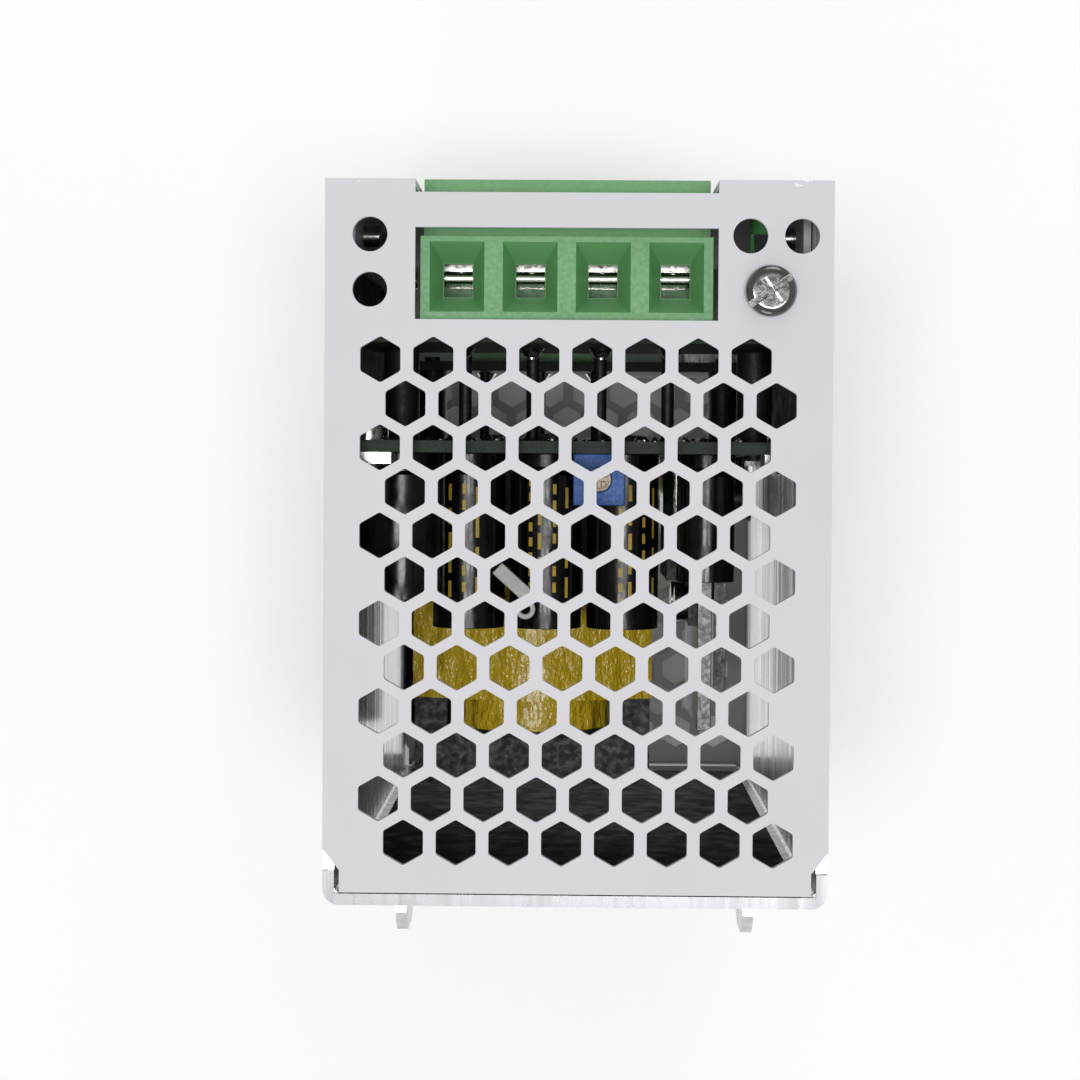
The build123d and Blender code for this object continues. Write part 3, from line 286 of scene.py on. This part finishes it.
def circuit_board():
    """Dark solder mask, with the woven glass showing as a faint grid."""
    f = Finish("circuit_board", (0.018, 0.026, 0.020), 0.6)
    f.shader.inputs["Specular IOR Level"].default_value = 0.2
    weave = f.product(f.grain(0.5, 1.0, (6, 1, 1)), f.grain(0.5, 1.0, (1, 1, 6)))
    f.tint(f.between(weave, 0.15, 0.4, 0.0, 0.5), (0.04, 0.052, 0.04))
    f.tint(f.between(f.grain(2.4, 3.0), 0.5, 0.62, 0.0, 0.5), (0.02, 0.04, 0.02))
    f.relief(weave, 0.02)
    return f.material


def insulation_film():
    """Dull black sheet, slightly wavy."""
    f = Finish("black_film", (0.004, 0.005, 0.008), 0.75)
    f.shader.inputs["Specular IOR Level"].default_value = 0.08
    f.gloss(f.grain(3.0, 4.0), 0.62, 0.85)
    f.relief(f.grain(7.0, 2.0), 0.25)
    return f.material


def polyester_tape():
    """Amber-yellow film over layers below it, with creases that catch the light."""
    f = Finish("yellow_tape", (0.76, 0.53, 0.02), 0.16)
    f.shader.inputs["Coat Weight"].default_value = 0.35
    f.shader.inputs["Coat Roughness"].default_value = 0.08
    f.tint(f.between(f.grain(6.0, 3.0), 0.35, 0.75, 0.0, 0.40), (0.58, 0.40, 0.015))
    layers = f.grain(0.9, 2.0, (20, 1, 20))
    f.tint(f.between(layers, 0.45, 0.7, 0.0, 0.3), (0.72, 0.56, 0.06))
    f.relief(f.grain(3.2, 4.0, (1, 2, 1)), 2.2)
    f.relief(f.grain(0.9, 2.0), 0.08)
    return f.material


def ferrite():
    """Pressed and ground ferrite, nearly black."""
    f = Finish("ferrite", (0.010, 0.010, 0.012), 0.5)
    f.shader.inputs["Specular IOR Level"].default_value = 0.3
    f.tint(f.between(f.grain(0.3, 4.0), 0.45, 0.75, 0.0, 0.5), (0.022, 0.022, 0.025))
    f.gloss(f.grain(1.0, 4.0), 0.34, 0.60)
    f.relief(f.grain(0.25, 4.0), 0.01)
    return f.material


def shrink_sleeve():
    """Black shrunk sleeve, glossy, pulled slightly uneven round the can."""
    f = Finish("capacitor_sleeve", (0.003, 0.0032, 0.004), 0.20)
    f.shader.inputs["Specular IOR Level"].default_value = 0.35
    f.gloss(f.grain(2.0, 3.0), 0.15, 0.28)
    f.relief(f.grain(4.0, 3.0, (1, 2, 1)), 0.06)
    return f.material


def print_ink():
    """Ochre ink of plain marks on the sleeves, thin in places."""
    f = Finish("sleeve_ink", (0.66, 0.47, 0.05), 0.45)
    f.tint(f.between(f.grain(0.3, 3.0), 0.5, 0.75, 0.0, 0.6), (0.16, 0.12, 0.03))
    return f.material


def solder():
    """Bright solder, uneven where it set."""
    f = Finish("solder", (0.78, 0.78, 0.77), 0.18, 1.0)
    f.gloss(f.grain(0.8, 3.0), 0.12, 0.36)
    f.relief(f.grain(0.5, 3.0), 0.02)
    return f.material


def enamelled_wire():
    """Copper under a clear enamel, darker in places."""
    f = Finish("copper_wire", (0.55, 0.20, 0.07), 0.25, 0.9)
    f.tint(f.between(f.grain(1.5, 3.0), 0.4, 0.75, 0.0, 0.5), (0.33, 0.10, 0.03))
    f.relief(f.grain(0.3, 2.0), 0.01)
    return f.material


def clear_lens():
    """The indicator's green lens, a little cloudy."""
    f = Finish("green_lens", (0.12, 0.48, 0.14), 0.12)
    f.shader.inputs["Transmission Weight"].default_value = 0.35
    f.tint(f.between(f.grain(0.6, 2.0), 0.4, 0.8, 0.0, 0.3), (0.25, 0.60, 0.25))
    f.relief(f.grain(0.5, 2.0), 0.01)
    return f.material


finishes = {
    "painted_steel": painted_steel(),
    "bare_aluminium": bare_aluminium(),
    "plated_steel": nickel(),
    "spring_steel": nickel("spring_steel", (0.50, 0.49, 0.47), 0.22, 0.4),
    "tinned_copper": nickel("tinned_copper", (0.80, 0.77, 0.72), 0.12, 0.30),
    "green_plastic": moulded("green_plastic", (0.122, 0.335, 0.125), (0.082, 0.255, 0.088), 0.42, 0.005),
    "blue_plastic": moulded("blue_plastic", (0.03, 0.12, 0.42), (0.02, 0.075, 0.30), 0.5, 0.01),
    "black_plastic": moulded("black_plastic", (0.006, 0.006, 0.007), (0.014, 0.014, 0.014), 0.5),
    "yellow_box": moulded("yellow_box", (0.62, 0.47, 0.06), (0.52, 0.38, 0.04), 0.42),
    "white_nylon": moulded("white_nylon", (0.62, 0.62, 0.60), (0.52, 0.52, 0.49), 0.4),
    "fuse_ceramic": moulded("fuse_ceramic", (0.72, 0.70, 0.64), (0.6, 0.58, 0.5), 0.35),
    "green_lacquer": moulded("green_lacquer", (0.03, 0.13, 0.06), (0.02, 0.08, 0.04), 0.25),
    "circuit_board": circuit_board(),
    "black_film": insulation_film(),
    "yellow_tape": polyester_tape(),
    "ferrite": ferrite(),
    "capacitor_sleeve": shrink_sleeve(),
    "copper_wire": enamelled_wire(),
    "solder": solder(),
    "green_lens": clear_lens(),
}
ink = print_ink()


# ---------------------------------------------------------------- pieces
def new_piece(name, mesh, slot, body=UNIT, stands_for=()):
    """A finished piece at the origin that rides on a body and stands for CAD nodes."""
    piece = bpy.data.objects.new(name, mesh)
    bpy.context.collection.objects.link(piece)
    if not mesh.materials:
        mesh.materials.append(finishes[slot])
    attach(piece, body)
    if stands_for:
        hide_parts(*stands_for)
    return piece


def smooth_by_angle(bm, degrees):
    """Shade every face smooth, and keep edges sharper than an angle crisp."""
    for face in bm.faces:
        face.smooth = True
    for edge in bm.edges:
        edge.smooth = len(edge.link_faces) == 2 and edge.calc_face_angle() < math.radians(degrees)


def broken_edges(node, width):
    """A CAD node's mesh as one skin, its flats joined and its sharp edges rounded by a width in mm."""
    same_point = 1e-6
    flat, smooth, sharp = 0.5, 32, 35         # degrees
    bm = bmesh.new()
    bm.from_mesh(frame["nodes"][node].data)
    bmesh.ops.remove_doubles(bm, verts=bm.verts, dist=same_point)
    if width:
        bmesh.ops.dissolve_limit(bm, angle_limit=math.radians(flat), verts=bm.verts, edges=bm.edges)
    smooth_by_angle(bm, smooth)
    mesh = bpy.data.meshes.new(node)
    bm.to_mesh(mesh)
    bm.free()
    if not width:
        return mesh
    carrier = bpy.data.objects.new(node, mesh)
    bpy.context.collection.objects.link(carrier)
    bevel = carrier.modifiers.new("edges", "BEVEL")
    bevel.width = width * MM
    bevel.segments = 2
    bevel.limit_method = "ANGLE"
    bevel.angle_limit = math.radians(sharp)
    depsgraph = bpy.context.evaluated_depsgraph_get()
    result = bpy.data.meshes.new_from_object(carrier.evaluated_get(depsgraph))
    bpy.data.objects.remove(carrier)
    return result


# how far each node's sharp edges are rounded, in mm
edge_widths = {
    "cover": 0.09, "chassis": 0.12, "end_screws": 0.12, "cover_screws": 0.08, "board_screws": 0.08,
    "device_screws": 0.08, "output_contacts": 0.1, "input_contacts": 0.1, "main_board": 0.08,
    "output_board": 0.08, "input_board": 0.08, "trimmer_body": 0.15, "trimmer_rotor": 0.06,
    "transformer_core_1": 0.25, "transformer_core_2": 0.25, "bobbin": 0.12, "output_heatsink": 0.12,
    "input_heatsink": 0.12, "rectifier_diodes": 0.2, "power_transistors": 0.2, "x_capacitor": 0.3,
    "bridge_rectifier": 0.3, "control_chips": 0.1, "latch_slider": 0.15, "cable_tie": 0.15, "fuse": 0.3,
    "thermistor": 0.3, "y_capacitors": 0.3, "output_capacitors": 0.35, "filter_capacitors": 0.35,
    "bulk_capacitor": 0.4, "device_leads": 0.06,
}
sawn = nickel("sawn_aluminium", (0.30, 0.30, 0.31), 0.48, 0.66)
# a darker copy of the plated steel for the end screws: its darkness is painted shade standing in for dim
# reflections
shaded_screw_nickel = nickel("painted_shade_nickel", (0.17, 0.165, 0.16), 0.10, 0.22)
dark_standoff = moulded("dark_standoff", (0.010, 0.010, 0.011), (0.018, 0.018, 0.018), 0.5)
dark_epoxy = moulded("dark_epoxy", (0.010, 0.013, 0.022), (0.02, 0.02, 0.03), 0.35)
own_finish = {"output_heatsink": sawn, "input_heatsink": sawn, "end_screws": shaded_screw_nickel,
              "board_spacers": dark_standoff, "y_capacitors": dark_epoxy,
              # the trimmer rotor's brass is darkened to near black: painted shade in place of its bright
              # reflection
              "trimmer_rotor": nickel("shaded_rotor_brass", (0.16, 0.13, 0.10), 0.35, 0.5)}
remade_by_hand = {"core_tape", "winding", "choke_windings", "latch_spring"}

for node in sorted(slot_of):
    if node in remade_by_hand:
        continue
    width = edge_widths.get(node, 0.1 if "cage" in node or "screw" in node else 0)
    mesh = broken_edges(node, width)
    if node in own_finish:
        mesh.materials.append(own_finish[node])
    new_piece(f"{node}_piece", mesh, slot_of[node], body_of[node], (node,))


# ---------------------------------------------------------------- geometry nodes
def node_tree(name, **inputs):
    """An empty geometry tree with one output and named inputs, by the type of their defaults."""
    tree = bpy.data.node_groups.new(name, "GeometryNodeTree")
    tree.interface.new_socket("Geometry", in_out="OUTPUT", socket_type="NodeSocketGeometry")
    for label, value in inputs.items():
        kind = "NodeSocketInt" if isinstance(value, int) else "NodeSocketFloat"
        tree.interface.new_socket(label, in_out="INPUT", socket_type=kind).default_value = value
    given = tree.nodes.new("NodeGroupInput")
    return tree, given.outputs


def step(tree, kind, settings=None, **inputs):
    """Add a node; each input is a number, a vector or another node's output."""
    node = tree.nodes.new(kind)
    for key, value in (settings or {}).items():
        setattr(node, key, value)
    for key, value in inputs.items():
        socket = node.inputs[int(key[1:])] if key[0] == "_" else node.inputs[key.replace("_", " ")]
        if isinstance(value, bpy.types.NodeSocket):
            tree.links.new(value, socket)
        else:
            socket.default_value = value
    return node


def grown(tree, result, material, **values):
    """Close a tree with Realize Instances and Set Material, run it and return a plain mesh."""
    real = step(tree, "GeometryNodeRealizeInstances", Geometry=result)
    coloured = step(tree, "GeometryNodeSetMaterial", Geometry=real.outputs[0], Material=material)
    tree.links.new(coloured.outputs[0], tree.nodes.new("NodeGroupOutput").inputs[0])
    return run_tree(tree, values)


def run_tree(tree, values):
    """Run a tree with these inputs on an empty carrier and keep the result as a plain mesh."""
    carrier = bpy.data.objects.new(tree.name, bpy.data.meshes.new(tree.name))
    bpy.context.collection.objects.link(carrier)
    grow = carrier.modifiers.new("grow", "NODES")
    grow.node_group = tree
    for item in tree.interface.items_tree:
        if item.in_out == "INPUT" and item.name in values:
            grow[item.identifier] = values[item.name]
    depsgraph = bpy.context.evaluated_depsgraph_get()
    mesh = bpy.data.meshes.new_from_object(carrier.evaluated_get(depsgraph))
    bpy.data.objects.remove(carrier)
    coat = next(material for material in mesh.materials if material)
    mesh.materials.clear()
    mesh.materials.append(coat)
    for face in mesh.polygons:
        face.material_index = 0
    return mesh


def placed(mesh, matrix):
    """Move a mesh to its place, so that its object can stay at the origin."""
    mesh.transform(matrix)
    mesh.update()
    return mesh


def joined(name, meshes):
    """One mesh out of several, keeping their materials."""
    bm = bmesh.new()
    materials = []
    for mesh in meshes:
        before = len(bm.faces)
        bm.from_mesh(mesh)
        bm.faces.ensure_lookup_table()
        for material in mesh.materials:
            if material not in materials:
                materials.append(material)
        own = [materials.index(material) for material in mesh.materials]
        for face in bm.faces[before:]:
            face.material_index = own[face.material_index]
    mesh = bpy.data.meshes.new(name)
    bm.to_mesh(mesh)
    bm.free()
    for material in materials:
        mesh.materials.append(material)
    return mesh


# ---------------------------------------------------------------- transformer tape and winding
def wrapped(node, crease, rows, seed, columns):
    """Tape pulled round a CAD shape: its skin cut fine and pushed in and out in soft creases."""
    creases_per_metre = 260
    low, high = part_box(node)
    bm = bmesh.new()
    bm.from_mesh(frame["nodes"][node].data)
    bmesh.ops.remove_doubles(bm, verts=bm.verts, dist=1e-6)
    for row in range(1, rows):
        y = low.y + (high.y - low.y) * row / rows
        everything = bm.verts[:] + bm.edges[:] + bm.faces[:]
        bmesh.ops.bisect_plane(bm, geom=everything, plane_co=(0, y, 0), plane_no=(0, 1, 0))
    for column in range(1, columns):
        x = low.x + (high.x - low.x) * column / columns
        everything = bm.verts[:] + bm.edges[:] + bm.faces[:]
        bmesh.ops.bisect_plane(bm, geom=everything, plane_co=(x, 0, 0), plane_no=(1, 0, 0))
    middle = (low + high) / 2
    bm.normal_update()
    for vert in bm.verts:
        outward = Vector((vert.co.x - middle.x, 0, vert.co.z - middle.z))
        if outward.length < 1e-6:
            continue
        ends = min(vert.co.y - low.y, high.y - vert.co.y) / (high.y - low.y)
        ripple = noise.noise(vert.co * creases_per_metre + Vector((seed, 0, 0)))
        soft = ripple * min(1.0, ends * 8 + 0.15)
        vert.co += outward.normalized() * (soft - 0.6) * crease * MM
    smooth_by_angle(bm, 40)
    mesh = bpy.data.meshes.new(node)
    bm.to_mesh(mesh)
    bm.free()
    return mesh


new_piece("core_tape_band", wrapped("core_tape", 0.16, 26, 3.0, 60), "yellow_tape", UNIT, ("core_tape",))
new_piece("winding_wrap", wrapped("winding", 0.16, 40, 11.0, 30), "yellow_tape", UNIT, ("winding",))


# ---------------------------------------------------------------- choke turns
def choke_turns():
    """Round wire wound through the ring, in two separate windings."""
    low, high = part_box("choke_windings")
    core_low, core_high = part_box("choke_core")
    wire = 0.55 * MM
    tree, given = node_tree("choke_turns", Turns=13, Ring=0.0078, Width=0.0058, Height=0.0094,
                            Wire=wire, Sweep=2.3)
    arc = step(tree, "GeometryNodeCurveArc", {"mode": "RADIUS"}, Resolution=64, Radius=given["Ring"],
               Sweep_Angle=given["Sweep"])
    spots = step(tree, "GeometryNodeCurveToPoints", Curve=arc.outputs[0], Count=given["Turns"])
    turn = step(tree, "GeometryNodeCurvePrimitiveQuadrilateral", Width=given["Width"],
                Height=given["Height"])
    soft = step(tree, "GeometryNodeFilletCurve", {"mode": "POLY"}, Curve=turn.outputs[0], Count=4,
                Radius=0.0012)
    round_wire = step(tree, "GeometryNodeCurvePrimitiveCircle", Resolution=8, Radius=given["Wire"])
    tube = step(tree, "GeometryNodeCurveToMesh", Curve=soft.outputs[0], Profile_Curve=round_wire.outputs[0])
    laid = step(tree, "GeometryNodeInstanceOnPoints", Points=spots.outputs["Points"],
                Instance=tube.outputs[0], Rotation=spots.outputs["Rotation"])
    centre = (core_low + core_high) / 2
    ring = (core_high.x - core_low.x) / 2
    hole = ring * 0.55
    sizes = {"Ring": (ring + hole) / 2, "Width": ring - hole + 2.2 * wire,
             "Height": core_high.y - core_low.y + 2.2 * wire}
    half = grown(tree, laid.outputs[0], finishes["copper_wire"], **sizes)
    other = half.copy()
    facing = Matrix.Translation(centre) @ Matrix.Rotation(math.radians(-90), 4, "X")
    spread = math.radians(-66)
    placed(half, facing @ Matrix.Rotation(spread, 4, "Z"))
    placed(other, facing @ Matrix.Rotation(spread + math.pi, 4, "Z"))
    new_piece("choke_turns", joined("choke_turns", [half, other]), "copper_wire", UNIT, ("choke_windings",))


choke_turns()


# ---------------------------------------------------------------- latch spring
def spring_wire():
    """The latch spring as a round wire on an even helix."""
    low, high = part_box("latch_spring")
    wire = 0.3 * MM
    tree, given = node_tree("spring_wire", Turns=9.0, Radius=0.0019, Height=0.0184, Wire=wire)
    coil = step(tree, "GeometryNodeCurveSpiral", Resolution=36, Rotations=given["Turns"],
                Start_Radius=given["Radius"], End_Radius=given["Radius"], Height=given["Height"])
    ring = step(tree, "GeometryNodeCurvePrimitiveCircle", Resolution=10, Radius=given["Wire"])
    tube = step(tree, "GeometryNodeCurveToMesh", Curve=coil.outputs[0], Profile_Curve=ring.outputs[0],
                Fill_Caps=True)
    mesh = grown(tree, tube.outputs[0], finishes["spring_steel"], Radius=(high.x - low.x) / 2 - wire,
                 Height=high.z - low.z - 2 * wire)
    foot = Vector(((low.x + high.x) / 2, (low.y + high.y) / 2, low.z + wire))
    placed(mesh, Matrix.Translation(foot))
    for face in mesh.polygons:
        face.use_smooth = True
    coil_piece = new_piece("latch_coil", mesh, "spring_steel", UNIT, ("latch_spring",))
    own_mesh(coil_piece)


spring_wire()


# ---------------------------------------------------------------- printed marks on the capacitor sleeves
def sleeve_marks(node, centres, radius):
    """Plain ink marks on each sleeve: a broken polarity band and a few short bars."""
    low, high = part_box(node)
    tree, given = node_tree("sleeve_marks", Marks=8, Pitch=0.0024, Width=0.0006, Length=0.0016,
                            Radius=0.005, Turn=0.0)
    patch = step(tree, "GeometryNodeMeshGrid", Size_X=given["Width"], Size_Y=given["Length"],
                 Vertices_X=7, Vertices_Y=2)
    gap = step(tree, "ShaderNodeCombineXYZ", Y=given["Pitch"])
    row = step(tree, "GeometryNodeMeshLine", Count=given["Marks"], Offset=gap.outputs[0])
    laid = step(tree, "GeometryNodeInstanceOnPoints", Points=row.outputs[0], Instance=patch.outputs[0])
    flat = step(tree, "GeometryNodeRealizeInstances", Geometry=laid.outputs[0])
    where = step(tree, "ShaderNodeSeparateXYZ", Vector=step(tree, "GeometryNodeInputPosition").outputs[0])
    angle = step(tree, "ShaderNodeMath", {"operation": "DIVIDE"}, _0=where.outputs["X"], _1=given["Radius"])
    angle = step(tree, "ShaderNodeMath", {"operation": "ADD"}, _0=angle.outputs[0], _1=given["Turn"])
    sine = step(tree, "ShaderNodeMath", {"operation": "SINE"}, _0=angle.outputs[0])
    cosine = step(tree, "ShaderNodeMath", {"operation": "COSINE"}, _0=angle.outputs[0])
    across = step(tree, "ShaderNodeMath", {"operation": "MULTIPLY"}, _0=sine.outputs[0], _1=given["Radius"])
    out = step(tree, "ShaderNodeMath", {"operation": "MULTIPLY"}, _0=cosine.outputs[0], _1=given["Radius"])
    bent = step(tree, "ShaderNodeCombineXYZ", X=across.outputs[0], Y=where.outputs["Y"], Z=out.outputs[0])
    curved = step(tree, "GeometryNodeSetPosition", Geometry=flat.outputs[0], Position=bent.outputs[0])
    first = grown(tree, curved.outputs[0], ink)
    bpy.data.meshes.remove(first)
    meshes = []
    length = high.y - low.y
    skin = radius + 0.02 * MM
    for number, (x, z) in enumerate(centres):
        lean = (number % 3 - 1) * 0.35
        # turn round the can, marks, pitch, width and length in mm, start as a share of the can
        rows = ((0.42 + lean, 9, 2.1, 0.55, 1.25, 0.16), (0.16 + lean, 5, 3.4, 0.5, 2.3, 0.22),
                (-0.25 + lean, 7, 2.3, 0.5, 1.4, 0.2), (-0.62 + lean, 4, 4.2, 0.5, 2.9, 0.25))
        for turn, marks, pitch, wide, long, start in rows:
            values = {"Marks": marks, "Pitch": pitch * MM, "Width": wide * MM, "Length": long * MM,
                      "Radius": skin, "Turn": turn}
            mesh = run_tree(tree, values)
            meshes.append(placed(mesh, Matrix.Translation((x, low.y + length * start, z))))
    new_piece(f"{node}_marks", joined(f"{node}_marks", meshes), slot_of[node])


caps_low, caps_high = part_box("output_capacitors")
cap_radius = (caps_high.z - caps_low.z) / 2
cap_z = (caps_low.z + caps_high.z) / 2
cap_x = [caps_low.x + cap_radius, (caps_low.x + caps_high.x) / 2, caps_high.x - cap_radius]
sleeve_marks("output_capacitors", [(x, cap_z) for x in cap_x], cap_radius)


# ---------------------------------------------------------------- solder points on the main board
def solder_points():
    """Small soldered ends scattered over the main board's solder face."""
    low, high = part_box("main_board")
    tree, given = node_tree("solder_points", Width=0.05, Length=0.1, Spacing=0.0048, Seed=7,
                            Radius=0.0006, Height=0.0008)
    sheet = step(tree, "GeometryNodeMeshGrid", Size_X=given["Width"], Size_Y=given["Length"],
                 Vertices_X=2, Vertices_Y=2)
    spots = step(tree, "GeometryNodeDistributePointsOnFaces", {"distribute_method": "POISSON"},
                 Mesh=sheet.outputs[0], Distance_Min=given["Spacing"], Density_Max=60000.0,
                 Seed=given["Seed"])
    cone = step(tree, "GeometryNodeMeshCone", Vertices=10, Side_Segments=2, Radius_Top=0.0002,
                Radius_Bottom=given["Radius"], Depth=given["Height"])
    size = step(tree, "FunctionNodeRandomValue", {"data_type": "FLOAT"}, Min=0.6, Max=1.3,
                Seed=given["Seed"])
    laid = step(tree, "GeometryNodeInstanceOnPoints", Points=spots.outputs["Points"],
                Instance=cone.outputs["Mesh"])
    tree.links.new(size.outputs[1], laid.inputs["Scale"])
    mesh = grown(tree, laid.outputs[0], finishes["solder"], Width=high.x - low.x - 12 * MM,
                 Length=high.z - low.z - 16 * MM)
    for face in mesh.polygons:
        face.use_smooth = True
    centre = Vector(((low.x + high.x) / 2, low.y, (low.z + high.z) / 2))
    placed(mesh, Matrix.Translation(centre) @ Matrix.Rotation(math.radians(90), 4, "X"))
    new_piece("solder_points", mesh, "solder")


solder_points()


# ---------------------------------------------------------------- threads on the terminal screws
def screw_threads():
    """A raised helical thread round the lower part of each terminal screw."""
    tree, given = node_tree("screw_thread", Turns=9.0, Radius=0.0017, Height=0.0054, Depth=0.00035)
    coil = step(tree, "GeometryNodeCurveSpiral", Resolution=32, Rotations=given["Turns"],
                Start_Radius=given["Radius"], End_Radius=given["Radius"], Height=given["Height"])
    ridge = step(tree, "GeometryNodeCurvePrimitiveCircle", Resolution=4, Radius=given["Depth"])
    tube = step(tree, "GeometryNodeCurveToMesh", Curve=coil.outputs[0], Profile_Curve=ridge.outputs[0],
                Fill_Caps=True)
    first = grown(tree, tube.outputs[0], finishes["plated_steel"])
    bpy.data.meshes.remove(first)
    depth, shank, pitch, run = 0.2 * MM, 1.72 * MM, 0.6 * MM, 6.0 * MM
    sizes = {"Turns": run / pitch, "Radius": shank - depth * 0.8, "Height": run, "Depth": depth}
    for name in sorted(n for n in slot_of if "put_screw" in n):
        low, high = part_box(name)
        mesh = run_tree(tree, sizes)
        foot = Vector(((low.x + high.x) / 2, high.y - 0.1 * MM, (low.z + high.z) / 2))
        placed(mesh, Matrix.Translation(foot) @ Matrix.Rotation(math.radians(90), 4, "X"))
        new_piece(f"{name}_thread", mesh, "plated_steel", body_of[name])


screw_threads()

camera()
studio()
